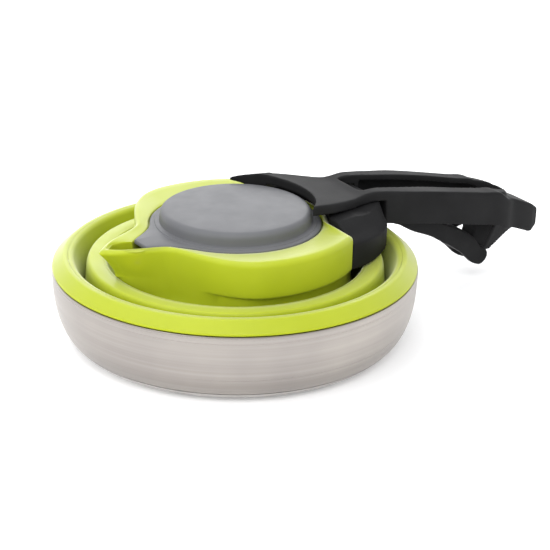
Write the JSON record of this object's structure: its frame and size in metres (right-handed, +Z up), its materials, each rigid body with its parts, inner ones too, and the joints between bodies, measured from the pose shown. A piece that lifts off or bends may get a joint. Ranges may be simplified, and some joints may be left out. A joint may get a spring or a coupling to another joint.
{
  "type": "collapsible kettle",
  "caption": "Collapsible kettle folded flat, with a metal pot, a pleated soft upper body with a spout, a domed lid and a slotted grip with a hinged lever.",
  "frame": {"origin": "centre of the pot's round flat bottom, on the surface that it stands on", "axes": "+Z up, +X from the kettle's axis towards the handle, the spout on -X, +Y to the left seen from the spout"},
  "size_m": [0.285, 0.185, 0.0714],
  "materials": {
    "brushed_steel": "brushed",
    "aluminium": "satin",
    "bright_steel": "bright",
    "lime_silicone": "satin",
    "grey_plastic": "satin",
    "clear_silicone": "satin",
    "black_nylon": "matt"
  },
  "bodies": {
    "base": {"base_pot": "brushed_steel", "base_cap": "brushed_steel", "heat_spreader": "aluminium", "base_collar": "lime_silicone", "rim_clamp_band": "bright_steel", "lower_fold": "lime_silicone"},
    "ring": {"middle_ring": "lime_silicone", "upper_fold": "lime_silicone"},
    "top": {"top_section": "lime_silicone", "mouth_ring": "black_nylon", "handle_bracket": "black_nylon", "bracket_backplate": "bright_steel", "bracket_screw_1": "bright_steel", "bracket_screw_2": "bright_steel", "handle": "black_nylon", "handle_screw_1": "bright_steel", "handle_screw_2": "bright_steel", "lever_pin": "bright_steel"},
    "lid": {"lid_cover": "grey_plastic", "lid_plug": "grey_plastic", "lid_seal": "clear_silicone", "lid_screw_1": "bright_steel", "lid_screw_2": "bright_steel", "lid_screw_3": "bright_steel"},
    "lever": {"grip_lever": "black_nylon"}
  },
  "joints": [
    {"name": "ring_rise", "type": "slide", "parent": "base", "child": "ring", "axis": [0, 0, 1], "range_m": [0, 0.0474], "deforming": ["lower_fold"]},
    {"name": "top_rise", "type": "slide", "parent": "ring", "child": "top", "axis": [0, 0, 1], "range_m": [0, 0.0436], "deforming": ["upper_fold"]},
    {"name": "lid_tilt", "type": "hinge", "parent": "top", "child": "lid", "pos_m": [0.0432, 0, 0.05845], "axis": [0, 1, 0], "range_deg": [0, 12]},
    {"name": "lever_squeeze", "type": "hinge", "parent": "top", "child": "lever", "pos_m": [0.09, 0, 0.0514], "axis": [0, -1, 0], "range_deg": [0, 15]}
  ]
}
